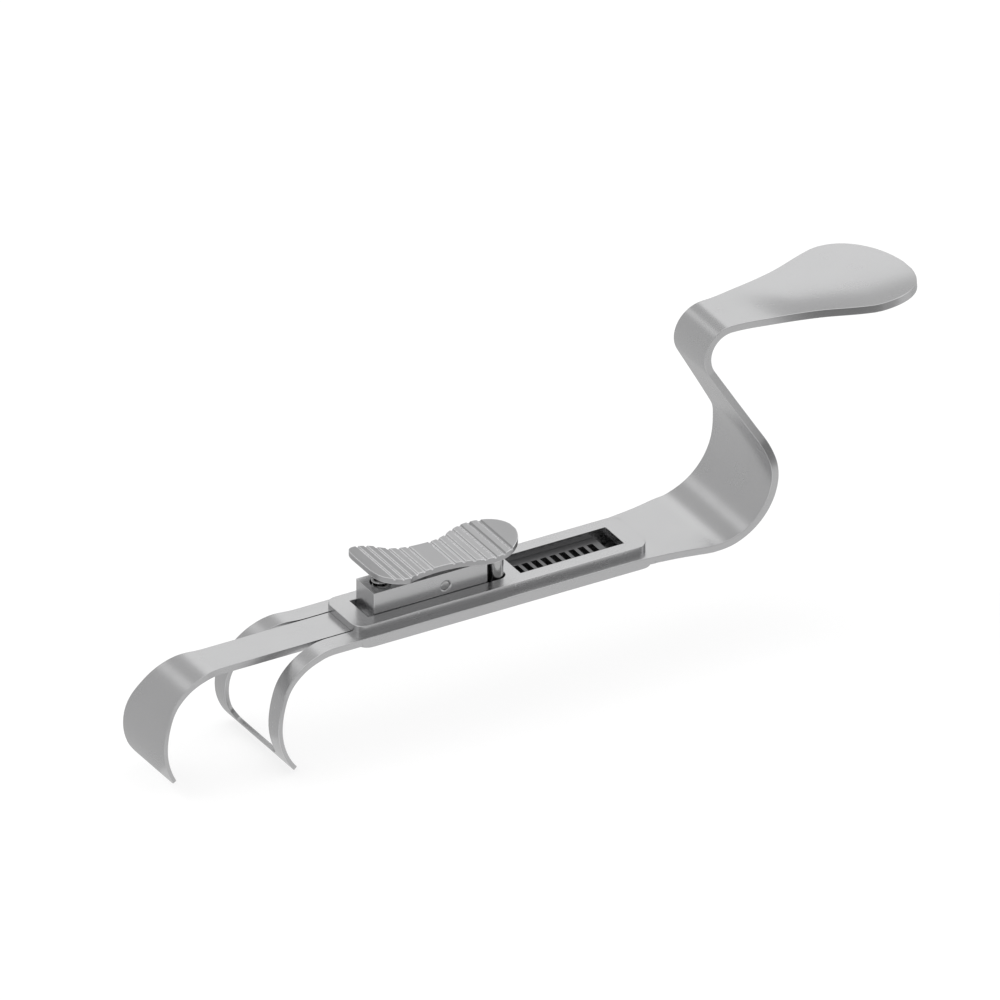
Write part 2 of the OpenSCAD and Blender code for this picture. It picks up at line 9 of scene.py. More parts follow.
import bmesh
import bpy
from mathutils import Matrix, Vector


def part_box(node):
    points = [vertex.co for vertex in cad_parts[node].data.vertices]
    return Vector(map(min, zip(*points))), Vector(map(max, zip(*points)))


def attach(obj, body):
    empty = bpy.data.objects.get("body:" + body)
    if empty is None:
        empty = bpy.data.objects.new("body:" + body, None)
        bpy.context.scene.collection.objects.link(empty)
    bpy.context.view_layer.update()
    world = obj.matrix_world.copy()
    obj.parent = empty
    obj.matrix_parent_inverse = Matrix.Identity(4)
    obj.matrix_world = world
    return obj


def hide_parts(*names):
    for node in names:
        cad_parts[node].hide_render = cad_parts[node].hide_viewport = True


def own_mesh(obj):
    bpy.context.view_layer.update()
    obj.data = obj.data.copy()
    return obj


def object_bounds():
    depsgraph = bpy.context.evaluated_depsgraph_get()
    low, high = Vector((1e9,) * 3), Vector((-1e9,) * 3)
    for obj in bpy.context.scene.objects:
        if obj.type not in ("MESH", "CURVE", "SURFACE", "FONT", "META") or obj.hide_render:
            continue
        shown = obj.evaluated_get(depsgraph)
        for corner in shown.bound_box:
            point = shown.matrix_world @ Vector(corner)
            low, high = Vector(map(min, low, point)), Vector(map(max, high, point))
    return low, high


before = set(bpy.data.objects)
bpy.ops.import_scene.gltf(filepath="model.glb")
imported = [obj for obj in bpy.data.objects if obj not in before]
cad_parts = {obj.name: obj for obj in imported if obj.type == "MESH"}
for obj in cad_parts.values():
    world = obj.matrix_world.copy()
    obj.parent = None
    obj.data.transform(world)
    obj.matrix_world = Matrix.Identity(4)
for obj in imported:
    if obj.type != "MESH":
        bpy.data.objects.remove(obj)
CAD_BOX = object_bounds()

logging.basicConfig(level=logging.INFO, format="%(message)s")
LOG = logging.getLogger("retractor")
MM = 0.001
# Strips of a bent sheet on each side of its middle.
CENTRE = 4
# Added to the column of each point on the underside of a filled strip.
LOWER_SIDE = 10 * CENTRE
# Millimetres below which two places are the same.
TINY = 1e-6
# Angles of the lines over a rounded corner.
CORNER_ANGLES = (0, 20, 34, 48, 62, 76, 90)
# Degrees below which neighbouring faces are shaded as one.
SMOOTH_BELOW = 38.0
# Pairs of position and value.
Table = list[tuple[float, float]]


class Slot(Enum):
    """Material slots of the record."""

    SATIN = "satin_steel"
    POLISHED = "polished_steel"
    SPRING = "spring_steel"


class Body(Enum):
    """Bodies that pieces ride on."""

    FRAME = "frame"
    BLADE = "blade"
    LEVER = "lever"


# Finishes


@dataclass(frozen=True)
class SteelFinish:
    """Bare stainless steel with a fine grain and a cloudy polish.

    Attributes:
        name: Name of the material.
        slot: Slot of the record that the finish belongs to.
        tone: Colour of the metal's reflection.
        rough: Lowest and highest roughness that the grain reaches.
        grain: Stretch of the grain on each axis, higher across it.
        relief: Depth of the grain in metres.
        edge_highlight: How much brighter the edges are: a painted highlight along them.
        edge_rough: Share of the faces' roughness that the edges have.
        brightest: Highest tone that the painted edge highlight reaches.
        cloud: Scale of the clouds in the polish.
        cloud_tone: Share of the tone that is left in a cloud.
        bump: Strength of the grain's relief.
        middle: Part of the noise that is spread over the roughness.
    """

    name: str
    slot: Slot
    tone: tuple[float, float, float]
    rough: tuple[float, float]
    grain: tuple[float, float, float]
    relief: float
    edge_highlight: float = 1.15
    edge_rough: float = 0.8
    brightest: float = 0.95
    cloud: float = 90.0
    cloud_tone: float = 0.97
    bump: float = 0.6
    middle: tuple[float, float] = (0.3, 0.7)

    def coat(self) -> "Coat":
        """Makes the finish with its edges brightened by a painted highlight.

        Returns:
            Both materials and their slot.
        """
        # The edge steel is brighter than the faces: a painted highlight along the eased edges.
        highlight_tone = tuple(min(self.brightest, self.edge_highlight * c) for c in self.tone)
        smooth = (self.edge_rough * self.rough[0], self.edge_rough * self.rough[1])
        edge = replace(self, name=f"{self.name}_edge", tone=highlight_tone, rough=smooth)
        return Coat(self.build(), edge.build(), self.slot)

    def build(self) -> bpy.types.Material:
        """Makes the node material.

        Returns:
            The finished material.
        """
        material = bpy.data.materials.new(self.name)
        material.use_nodes = True
        tree = material.node_tree
        tree.nodes.clear()
        out = tree.nodes.new("ShaderNodeOutputMaterial")
        shader = tree.nodes.new("ShaderNodeBsdfPrincipled")
        shader.inputs["Metallic"].default_value = 1.0
        place = tree.nodes.new("ShaderNodeTexCoord")
        stretch = tree.nodes.new("ShaderNodeMapping")
        stretch.inputs["Scale"].default_value = self.grain
        fine = self._noise(tree, scale=1.0, detail=3.0)
        cloud = self._noise(tree, scale=self.cloud, detail=2.0)
        rough = tree.nodes.new("ShaderNodeMapRange")
        ends = ("From Min", "From Max", "To Min", "To Max")
        for end, value in zip(ends, (*self.middle, *self.rough)):
            rough.inputs[end].default_value = value
        blend = tree.nodes.new("ShaderNodeMix")
        blend.inputs["Factor"].default_value = 0.5
        shade = tree.nodes.new("ShaderNodeMix")
        shade.data_type = "RGBA"
        shade.inputs["A"].default_value = (*self.tone, 1.0)
        shade.inputs["B"].default_value = (*[self.cloud_tone * c for c in self.tone], 1.0)
        bump = tree.nodes.new("ShaderNodeBump")
        bump.inputs["Strength"].default_value = self.bump
        bump.inputs["Distance"].default_value = self.relief
        for source, output, target, socket in (
            (place, "Object", stretch, "Vector"),
            (stretch, "Vector", fine, "Vector"),
            (place, "Object", cloud, "Vector"),
            (fine, "Fac", blend, "A"),
            (cloud, "Fac", blend, "B"),
            (blend, "Result", rough, "Value"),
            (rough, "Result", shader, "Roughness"),
            (cloud, "Fac", shade, "Factor"),
            (shade, "Result", shader, "Base Color"),
            (fine, "Fac", bump, "Height"),
            (bump, "Normal", shader, "Normal"),
            (shader, "BSDF", out, "Surface"),
        ):
            tree.links.new(source.outputs[output], target.inputs[socket])
        return material

    @staticmethod
    def _noise(tree: bpy.types.NodeTree, scale: float, detail: float) -> bpy.types.Node:
        """Adds a noise texture of a scale and of so many octaves of detail."""
        node = tree.nodes.new("ShaderNodeTexNoise")
        node.inputs["Scale"].default_value = scale
        node.inputs["Detail"].default_value = detail
        return node


@dataclass(frozen=True)
class Coat:
    """A finish on a piece.

    Attributes:
        face: Steel of the faces.
        edge: Steel of the eased edges, brightened with a painted highlight.
        slot: Slot of the record.
    """

    face: bpy.types.Material
    edge: bpy.types.Material
    slot: Slot


@dataclass(frozen=True)
class Finishes:
    """The steels of the instrument.

    Attributes:
        satin: Sheets and block.
        matt: Thumb pad, with a strong painted highlight along the edges of its ridges.
        milled_and_shaded: Rack, a milled finish darkened with painted shade of the window over it.
        polished: Pawl, pin and screws.
        wire: Spring.
    """

    satin: Coat
    matt: Coat
    milled_and_shaded: Coat
    polished: Coat
    wire: Coat

    @classmethod
    def make(cls) -> "Finishes":
        """Builds all the materials, with the grain drawn along the sheets.

        Returns:
            The steels with their edges brightened by painted highlights.
        """
        steels = (
            ("satin_steel", Slot.SATIN, (0.62, 0.62, 0.625), (0.24, 0.28), (200.0, 1600.0, 1600.0), 5e-7),
            # The matt steel's last number makes the painted highlight on the pad's edges and ridges strong.
            ("matt_steel", Slot.SATIN, (0.5, 0.5, 0.505), (0.32, 0.38), (1200.0, 1200.0, 1200.0), 1e-6, 1.7),
            # The milled steel's dark tone is partly its milled finish and partly painted shade of the window
            # over the rack.
            ("milled_shaded_steel", Slot.SATIN, (0.2, 0.2, 0.204), (0.3, 0.4), (2000.0, 300.0, 300.0), 1e-6),
            ("polished_steel", Slot.POLISHED, (0.6, 0.6, 0.6), (0.17, 0.23), (900.0, 900.0, 900.0), 5e-7),
            ("spring_steel", Slot.SPRING, (0.5, 0.5, 0.5), (0.15, 0.25), (1500.0, 1500.0, 300.0), 1e-6),
        )
        return cls(*[SteelFinish(*steel).coat() for steel in steels])


# Tools of the bench


def lone(obj: bpy.types.Object) -> None:
    """Makes an object the only selected one and the active one."""
    bpy.ops.object.select_all(action="DESELECT")
    obj.select_set(True)
    bpy.context.view_layer.objects.active = obj


def open_whole(obj: bpy.types.Object) -> None:
    """Opens an object in edit mode with all of it selected."""
    lone(obj)
    bpy.ops.object.mode_set(mode="EDIT")
    bpy.ops.mesh.select_all(action="SELECT")


def close_outward() -> None:
    """Turns all normals of the open mesh outward and leaves edit mode."""
    bpy.ops.mesh.select_all(action="SELECT")
    bpy.ops.mesh.normals_make_consistent(inside=False)
    bpy.ops.object.mode_set(mode="OBJECT")


def apply_all(obj: bpy.types.Object) -> None:
    """Applies an object's modifiers from the first to the last."""
    lone(obj)
    for name in [m.name for m in obj.modifiers]:
        bpy.ops.object.modifier_apply(modifier=name)


def ease_edges(
    obj: bpy.types.Object,
    width: float,
    segments: int = 3,
    sharper_than: float = 50.0,
    seated: Callable[[Vector], bool] | None = None,
) -> None:
    """Rounds a dressed object's sharp edges in its edge steel, which is brightened as a painted highlight, and
    shades it with flat faces kept flat.

    Args:
        obj: Object to finish.
        width: Width of the bevel in metres.
        segments: Steps of the bevel.
        sharper_than: Angle in degrees above which an edge is rounded.
        seated: Says of a place, in metres, whether an edge there sits on another piece and stays crisp.
    """
    lone(obj)
    bpy.ops.object.mode_set(mode="EDIT")
    bpy.ops.mesh.select_mode(type="EDGE")
    bpy.ops.mesh.select_all(action="DESELECT")
    mesh = bmesh.from_edit_mesh(obj.data)
    for edge in mesh.edges:
        if len(edge.link_faces) == 2 and edge.calc_face_angle() > radians(sharper_than):
            edge.select = seated is None or not all(seated(v.co) for v in edge.verts)
    bmesh.update_edit_mesh(obj.data)
    # The rounded edges take the second slot, the brighter edge steel: a painted highlight along them.
    bpy.ops.mesh.bevel(offset=width, segments=segments, affect="EDGES", clamp_overlap=False, material=1)
    bpy.ops.object.mode_set(mode="OBJECT")
    bpy.ops.object.shade_smooth_by_angle(angle=radians(SMOOTH_BELOW))
    even = obj.modifiers.new("even_faces", "WEIGHTED_NORMAL")
    even.keep_sharp = True
    apply_all(obj)


def settle(obj: bpy.types.Object) -> None:
    """Applies an object's place, turn and size, so that it sits at the origin."""
    lone(obj)
    bpy.ops.object.transform_apply(location=True, rotation=True, scale=True)


def dress(obj: bpy.types.Object, coat: Coat) -> None:
    """Gives an object its finish.

    Args:
        obj: Piece or kept node.
        coat: Steel of its faces and edges.
    """
    obj.data.materials.clear()
    obj.data.materials.append(coat.face)
    obj.data.materials.append(coat.edge)


def fix(obj: bpy.types.Object, body: Body, *nodes: str) -> None:
    """Makes a piece ride on its body in place of CAD nodes.

    Args:
        obj: Finished piece.
        body: Body that carries it.
        nodes: CAD nodes that it stands for.
    """
    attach(obj, body.value)
    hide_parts(*nodes)
    LOG.info("%s: %d faces, rides on %s", obj.name, len(obj.data.polygons), body.value)


def copy_of(node: str, name: str, merge: float = 2e-6, flat: float = 0.5) -> bpy.types.Object:
    """Copies a CAD node as clean faces, to be finished as a piece of its own.

    Args:
        node: CAD node to copy.
        name: Name of the piece.
        merge: Distance in metres below which points are one.
        flat: Angle in degrees below which faces are one.

    Returns:
        The merged copy.
    """
    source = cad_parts[node]
    piece = bpy.data.objects.new(name, source.data.copy())
    bpy.context.scene.collection.objects.link(piece)
    lone(piece)
    if piece.data.has_custom_normals:
        bpy.ops.mesh.customdata_custom_splitnormals_clear()
    open_whole(piece)
    bpy.ops.mesh.remove_doubles(threshold=merge)
    bpy.ops.mesh.dissolve_limited(angle_limit=radians(flat))
    close_outward()
    return piece


# Sheets bent from strips


def smooth_line(points: Table, at: float) -> float:
    """Reads a smooth curve through points that is level at both ends.

    Args:
        points: Pairs of position and value, in order.
        at: Position asked for.

    Returns:
        The value there.
    """
    if at <= points[0][0]:
        return points[0][1]
    if at >= points[-1][0]:
        return points[-1][1]
    last = len(points) - 1
    i = next(k for k in range(last) if at < points[k + 1][0])

    def slope(k: int) -> float:
        """Returns the slope of the curve at its point k."""
        if k in (0, last):
            return 0.0
        return (points[k + 1][1] - points[k - 1][1]) / (points[k + 1][0] - points[k - 1][0])

    width = points[i + 1][0] - points[i][0]
    f = (at - points[i][0]) / width
    return (
        (2 * f**3 - 3 * f**2 + 1) * points[i][1]
        + (f**3 - 2 * f**2 + f) * slope(i) * width
        + (3 * f**2 - 2 * f**3) * points[i + 1][1]
        + (f**3 - f**2) * slope(i + 1) * width
    )


@dataclass(frozen=True)
class Line:
    """One line across a strip of sheet, in millimetres and degrees.

    Attributes:
        x: Place along the instrument.
        z: Height of the sheet's outer face.
        tilt: Angle of the sheet there.
        half: Half of the sheet's width.
        inner: Half of the width of an opening, or of the middle strips.
        thick: Thickness of the sheet.
        dish: Depth of the sheet's hollow in the middle.
    """

    x: float
    z: float
    tilt: float
    half: float
    inner: float
    thick: float
    dish: float = 0.0

    def across(self) -> Table:
        """Lists the places of the line's points from its middle out.

        Returns:
            Pairs of distance from the middle and depth below the line.
        """
        places = [0.0, 0.5 * self.inner, self.inner, 0.5 * (self.inner + self.half), self.half]
        return [(y, self.dish * (1.0 - (y / self.half) ** 2)) for y in places]

    def up(self) -> Vector:
        """Returns the direction out of the sheet's outer face."""
        return Vector((-sin(radians(self.tilt)), 0.0, cos(radians(self.tilt))))


@dataclass
class BentSheet:
    """A strip drawn out line by line, opened, thickened and eased at its edges.

    Attributes:
        name: Name of the piece.
        coat: Steel of the faces and edges.
        lines: Lines across the strip, from one end to the other.
        holes: Numbers of the first and last line of each opening.
        ease: Width of the eased edges in millimetres.
        steps: Steps of the eased edges.
        seated: Says of a place whether an edge there stays crisp.
        underside: Heights of a filled strip's underside, one for each line.
    """

    name: str
    coat: Coat
    lines: list[Line]
    holes: list[tuple[int, int]] = field(default_factory=list)
    ease: float = 0.2
    steps: int = 3
    seated: Callable[[Vector], bool] | None = None
    underside: list[float] = field(default_factory=list)

    def build(self) -> bpy.types.Object:
        """Models the sheet.

        Returns:
            The finished mesh object.
        """
        obj = self._first_line()
        self._draw_out(obj)
        self._open(obj)
        if self.underside:
            self._fill_down(obj)
        else:
            self._thicken(obj)
        dress(obj, self.coat)
        ease_edges(obj, self.ease * MM, self.steps, seated=self.seated)
        return obj

    def _first_line(self) -> bpy.types.Object:
        """Starts with one edge of a grid, brought to the first line.

        Returns:
            The object in edit mode, with the line selected.
        """
        bpy.ops.object.select_all(action="DESELECT")
        bpy.ops.mesh.primitive_grid_add(x_subdivisions=1, y_subdivisions=2 * CENTRE, size=2 * CENTRE * MM)
        obj = bpy.context.object
        obj.name = self.name
        bpy.ops.object.mode_set(mode="EDIT")
        bpy.ops.mesh.select_mode(type="VERT")
        bpy.ops.mesh.select_all(action="DESELECT")
        mesh = bmesh.from_edit_mesh(obj.data)
        for v in mesh.verts:
            v.select = v.co.x > 0
        mesh.select_flush_mode()
        bpy.ops.mesh.delete(type="VERT")
        mesh = bmesh.from_edit_mesh(obj.data)
        mesh.verts.layers.int.new("line")
        mesh.verts.layers.int.new("column")
        bpy.ops.mesh.select_all(action="SELECT")
        first = self.lines[0]
        bpy.ops.transform.translate(value=((first.x + CENTRE) * MM, 0.0, first.z * MM))
        self._shape(obj, 0, [(float(k), 0.0) for k in range(CENTRE + 1)], Vector((0.0, 0.0, 1.0)))
        return obj

    def _draw_out(self, obj: bpy.types.Object) -> None:
        """Extrudes the strip from line to line.

        Args:
            obj: Sheet in edit mode, its first line selected.
        """
        for number in range(1, len(self.lines)):
            old, new = self.lines[number - 1], self.lines[number]
            bpy.ops.mesh.extrude_region_move(
                TRANSFORM_OT_translate={"value": ((new.x - old.x) * MM, 0.0, (new.z - old.z) * MM)}
            )
            self._shape(obj, number, old.across(), old.up())

    def _shape(self, obj: bpy.types.Object, number: int, was: Table, was_up: Vector) -> None:
        """Brings the selected line of points to its widths and its dish, and marks the points.

        Args:
            obj: Sheet in edit mode, its newest line selected.
            number: Number of the line.
            was: Places that the points took over from the line before.
            was_up: Direction out of the sheet at the line before.
        """
        line = self.lines[number]
        mesh = bmesh.from_edit_mesh(obj.data)
        marks = mesh.verts.layers.int
        for k, v in enumerate(sorted((v for v in mesh.verts if v.select), key=lambda v: v.co.y)):
            v[marks["line"]] = number
            v[marks["column"]] = k - CENTRE
        for k, ((y, depth), (old_y, old_depth)) in enumerate(zip(line.across(), was)):
            move = was_up * old_depth * MM - line.up() * depth * MM
            if abs(y - old_y) > TINY:
                self._pick(obj, lambda n, c: n == number and abs(c) == k)
                bpy.ops.transform.resize(
                    value=(1.0, y / old_y, 1.0), center_override=(line.x * MM, 0.0, line.z * MM)
                )
            if move.length > TINY * MM:
                self._pick(obj, lambda n, c: n == number and abs(c) == k)
                bpy.ops.transform.translate(value=move)
        self._pick(obj, lambda n, c: n == number)

    @staticmethod
    def _pick(obj: bpy.types.Object, wanted: Callable[[int, int], bool]) -> None:
        """Selects points by their marks.

        Args:
            obj: Sheet in edit mode.
            wanted: Says from a point's line and column whether it is picked.
        """
        mesh = bmesh.from_edit_mesh(obj.data)
        marks = mesh.verts.layers.int
        for part in (mesh.faces, mesh.edges, mesh.verts):
            for item in part:
                item.select = False
        for v in mesh.verts:
            v.select = wanted(v[marks["line"]], v[marks["column"]])
        mesh.select_flush(True)

    def _open(self, obj: bpy.types.Object) -> None:
        """Takes out the middle strips between the lines of each hole.

        Args:
            obj: Sheet in edit mode.
        """
        if not self.holes:
            return
        bpy.ops.mesh.select_mode(type="FACE")
        bpy.ops.mesh.select_all(action="DESELECT")
        mesh = bmesh.from_edit_mesh(obj.data)
        marks = mesh.verts.layers.int
        for face in mesh.faces:
            number = [v[marks["line"]] for v in face.verts]
            middle = all(abs(v[marks["column"]]) <= CENTRE // 2 for v in face.verts)
            face.select = middle and any(a <= min(number) and max(number) <= b for a, b in self.holes)
        bmesh.update_edit_mesh(obj.data)
        bpy.ops.mesh.delete(type="FACE")

    def _thicken(self, obj: bpy.types.Object) -> None:
        """Gives the strip its thickness below its outer face.

        Args:
            obj: Sheet in edit mode, left in object mode.
        """
        bpy.ops.object.mode_set(mode="OBJECT")
        full = max(line.thick for line in self.lines)
        group = obj.vertex_groups.new(name="thickness")
        for i, mark in enumerate(obj.data.attributes["line"].data):
            group.add([i], self.lines[mark.value].thick / full, "REPLACE")
        self._unmark(obj)
        flat = max(obj.data.polygons, key=lambda p: p.area)
        if flat.normal.z < 0:
            open_whole(obj)
            bpy.ops.mesh.flip_normals()
            bpy.ops.object.mode_set(mode="OBJECT")
        solid = obj.modifiers.new("sheet", "SOLIDIFY")
        solid.thickness = full * MM
        solid.offset = -1.0
        solid.use_even_offset = True
        solid.vertex_group = "thickness"
        apply_all(obj)
        obj.vertex_groups.clear()
        settle(obj)

    def _fill_down(self, obj: bpy.types.Object) -> None:
        """Fills the strip down to its smooth underside.

        Args:
            obj: Sheet in edit mode, left in object mode.
        """
        bpy.ops.mesh.select_mode(type="FACE")
        bpy.ops.mesh.select_all(action="SELECT")
        bpy.ops.mesh.extrude_region_move(TRANSFORM_OT_translate={"value": (0.0, 0.0, -MM)})
        mesh = bmesh.from_edit_mesh(obj.data)
        column = mesh.verts.layers.int["column"]
        for v in mesh.verts:
            if v.select:
                v[column] += LOWER_SIDE
        bpy.ops.mesh.select_mode(type="VERT")
        for number, (line, low) in enumerate(zip(self.lines, self.underside)):
            self._pick(obj, lambda n, c: n == number and c > 2 * CENTRE)
            bpy.ops.transform.translate(value=(0.0, 0.0, (low - line.z + 1.0) * MM))
        close_outward()
        self._unmark(obj)
        settle(obj)

    @staticmethod
    def _unmark(obj: bpy.types.Object) -> None:
        """Takes the marks off the points."""
        for mark in ("line", "column"):
            obj.data.attributes.remove(obj.data.attributes[mark])


def round_end(start: float, radius: float) -> Table:
    """Lists places over a rounded corner at the end of a strip.

    Args:
        start: Position of the end.
        radius: Radius of the corner, negative where the strip goes back from the end.

    Returns:
        Pairs of position and the half width that the corner takes off there.
    """
    turn = [radians(a) for a in CORNER_ANGLES]
    return [(start + radius * (1.0 - cos(a)), abs(radius) * (1.0 - sin(a))) for a in turn]


# Pieces


@dataclass(frozen=True)
class Sizes:
    """Sizes that several pieces share, in millimetres and degrees."""

    deck_z: float = 3.0
    frame_t: float = 2.0
    cover_half: float = 42.3
    rail_half: float = 5.5
    hook_r: float = 17.05
    blade_turn: float = 124.0
    blade_tip_half: float = 11.0
    shank_half: float = 5.3
    bend_step: float = 3.0
    flat_start: float = -9.0
    widening: ClassVar[Table] = [(-9, 0), (0, 0.05), (12, 0.18), (30, 0.32), (50, 0.48), (70, 0.74), (85, 0.86)]

    def blade_half(self, turn: float) -> float:
        """Finds the half width of the centre blade at an angle, below zero on the flat before its bend."""
        table = [*self.widening, (self.blade_turn, 1)]
        return self.shank_half + (self.blade_tip_half - self.shank_half) * smooth_line(table, turn)

    def flat_turns(self) -> Table:
        """Lists the angles before a hook's bend, each with its distance from the bend."""
        turns = [self.bend_step * k for k in range(1, int(-self.flat_start // self.bend_step) + 1)]
        return [(-turn, self.hook_r * radians(turn)) for turn in turns]

    def turns_from(self, turn: float) -> list[float]:
        """Lists even steps of a bend from below an angle down to its start."""
        count = int(turn // self.bend_step)
        return [turn * k / count for k in range(count - 1, -1, -1)]

    def turn_of(self, length: float) -> float:
        """Finds the angle of a hook that a length of its outer face takes."""
        return degrees(length / self.hook_r)

    @staticmethod
    def taper(turn: float, whole: float, root: float, tip: float) -> float:
        """Finds a hook's thickness at an angle of its whole bend: most of the taper is in the first half."""
        share = smooth_line([(0, 1), (whole / 4, 0.6), (whole / 2, 0.2), (whole, 0)], turn)
        return tip + (root - tip) * share


@dataclass
class BaseFrame:
    """The sheet that carries everything: open hook, deck with its slot, and handle."""

    sizes: Sizes
    finishes: Finishes
    prong_root: float = 10.0
    prong_width: float = 5.2
    window_turn: float = 124.0
    window_corner: float = 4.2
    bar_width: float = 3.5
    bar_corner: float = 3.0
    tip_t: float = 1.2
    fork_gap: float = 0.5
    fork_turn: float = 15.0
    deck_half: float = 10.9
    slot_half: float = 5.7
    plate_end: tuple[float, float, float] = (-0.3, 0.05, 0.4)
    slot_end: float = 39.7
    neck: float = 14.9
    grip_half: float = 15.0
    lower_r: float = 16.5
    upper_r: float = 8.25
    turn: float = 120.5
    rise: float = 57.5
    waist: float = 7.4
    reach: float = 55.0
    spoon_r: float = 17.0
    dish: float = 2.3
    droop: float = 2.0
    ease: float = 0.14
    near: float = 0.05
    deck_lines: tuple[float, ...] = (-30.0, -15.0, 0.0, 15.0, 30.0)
    neck_steps: int = 8
    lower_steps: int = 36
    straight_steps: int = 9
    upper_steps: int = 28
    spoon_steps: int = 20
    spoon_angles: tuple[int, ...] = (*range(4, 69, 4), 76, 84)
    widening: ClassVar[Table] = [(-0.4, 0), (-0.12, 0.11), (0.41, 0.435), (0.8, 0.81), (1, 1)]

    def build(self) -> None:
        """Models the frame as one strip from the hook's tip to the spoon's end."""
        hook, window_start = self._hook()
        deck = self._deck()
        lines = hook + deck + self._neck() + self._handle()
        holes = [(window_start, len(hook) + len(deck) - 1)]
        coat = self.finishes.satin
        sheet = BentSheet("frame_sheet", coat, lines, holes, ease=self.ease, seated=self._on_plate)
        fix(sheet.build(), Body.FRAME, "base_frame")

    def _on_plate(self, place: Vector) -> bool:
        """Tells whether a place, in metres, lies on the bottom plate."""
        level = self.sizes.deck_z - self.sizes.frame_t
        end = self.sizes.cover_half + 2 * self.near
        return abs(place.z - level * MM) < self.near * MM and abs(place.x) < end * MM

    def _inner(self, turn: float) -> float:
        """Finds the half width of the opening between the prongs at an angle of the bend."""
        s = self.sizes
        gap = [(s.flat_start, self.slot_half - s.shank_half), (self.fork_turn, self.fork_gap)]
        return s.blade_half(turn) + smooth_line(gap, turn)

    def _hook_line(self, turn: float, half: float, inner: float) -> Line:
        """Makes one line of the open hook at an angle of its bend."""
        s = self.sizes
        x = -s.cover_half - self.prong_root - s.hook_r * sin(radians(turn))
        z = s.deck_z - s.hook_r * (1.0 - cos(radians(turn)))
        return Line(x, z, turn, half, inner, s.taper(turn, self.window_turn, s.frame_t, self.tip_t))

    def _hook(self) -> tuple[list[Line], int]:
        """Makes the lines of the bar and the prongs.

        Returns:
            The lines, and the number of the one where the opening starts.
        """
        s = self.sizes
        tip = self.window_turn + s.turn_of(self.bar_width)
        lines = []
        for place, off in round_end(0.0, self.bar_corner):
            turn = tip - s.turn_of(place)
            half = self._inner(turn) + self.prong_width - off
            lines.append(self._hook_line(turn, half, self._inner(turn) - self.window_corner))
        start = len(lines)
        for place, off in round_end(0.0, self.window_corner):
            turn = self.window_turn - s.turn_of(place)
            lines.append(self._hook_line(turn, self._inner(turn) + self.prong_width, self._inner(turn) - off))
        for turn in s.turns_from(self.window_turn - s.turn_of(self.window_corner)):
            lines.append(self._hook_line(turn, self._inner(turn) + self.prong_width, self._inner(turn)))
        return lines, start

    def _deck(self) -> list[Line]:
        """Makes the lines of the flat deck between the hook and the end of its slot."""
        s = self.sizes
        bend_x = -s.cover_half - self.prong_root
        lines = []
        for turn, away in s.flat_turns():
            inner = self._inner(turn)
            lines.append(Line(bend_x + away, s.deck_z, 0.0, inner + self.prong_width, inner, s.frame_t))
        front = [-s.cover_half + step for step in self.plate_end]
        widens = s.cover_half + self.widening[0][0] * self.neck
        places = [(x, self.deck_half) for x in (*front, *self.deck_lines, widens)]
        places.append((self.slot_end, self._neck_half(self.slot_end)))
        return lines + [Line(x, s.deck_z, 0.0, half, self.slot_half, s.frame_t) for x, half in places]

    def _neck_half(self, x: float) -> float:
        """Finds the half width of the deck at a place near the cover's end or behind it."""
        f = (x - self.sizes.cover_half) / self.neck
        return self.deck_half + (self.grip_half - 1.0 - self.deck_half) * smooth_line(self.widening, f)

    def _neck(self) -> list[Line]:
        """Makes the lines of the neck between the slot's end and the lower bend."""
        s = self.sizes
        end = s.cover_half + self.neck
        places = [s.cover_half + step for step in self.plate_end]
        places += [end - (end - s.cover_half) * k / self.neck_steps for k in range(self.neck_steps - 1, 0, -1)]
        return [Line(x, s.deck_z, 0.0, self._neck_half(x), s.rail_half, s.frame_t) for x in places]

    def _handle(self) -> list[Line]:
        """Makes the lines of the lower bend, the straight, the upper bend and the spoon."""
        s, a1 = self.sizes, radians(self.turn)
        x0 = s.cover_half + self.neck
        x1, z1 = x0 + self.lower_r * sin(a1), s.deck_z + self.lower_r * (1 - cos(a1))
        length = (self.rise - (self.lower_r + self.upper_r) * (1 - cos(a1))) / sin(a1)
        x2, z2 = x1 + length * cos(a1), z1 + length * sin(a1)
        cx, cz = x2 + self.upper_r * sin(a1), z2 - self.upper_r * cos(a1)
        # Half widths by the angle of the lower bend, then by the share of the straight and of the upper bend.
        g, w = self.grip_half, self.waist
        low = [(0, g - 1.0), (20, g - 0.45), (75, g), (97, g - 0.4), (self.turn, g - 2.9), (135, g - 3.1)]
        mid = [(-0.4, g + 1.2), (0, g - 2.9), (1, w + 0.6), (1.4, w)]
        top = [(-0.6, w + 1.6), (0, w + 0.6), (1, w)]
        lines = []
        for k in range(self.lower_steps + 1):
            a = a1 * k / self.lower_steps
            half = smooth_line(low, degrees(a))
            inner = s.rail_half + (0.5 * half - s.rail_half) * k / self.lower_steps
            x, z = x0 + self.lower_r * sin(a), s.deck_z + self.lower_r * (1 - cos(a))
            lines.append(Line(x, z, degrees(a), half, inner, s.frame_t))
        for k in range(1, self.straight_steps):
            f = k / self.straight_steps
            half = smooth_line(mid, f)
            lines.append(Line(x1 + (x2 - x1) * f, z1 + (z2 - z1) * f, self.turn, half, 0.5 * half, s.frame_t))
        for k in range(self.upper_steps + 1):
            f = k / self.upper_steps
            a, half = a1 * (1 - f), smooth_line(top, f)
            x, z = cx - self.upper_r * sin(a), cz + self.upper_r * cos(a)
            lines.append(Line(x, z, degrees(a), half, 0.5 * half, s.frame_t))
        return lines + self._spoon(cx)

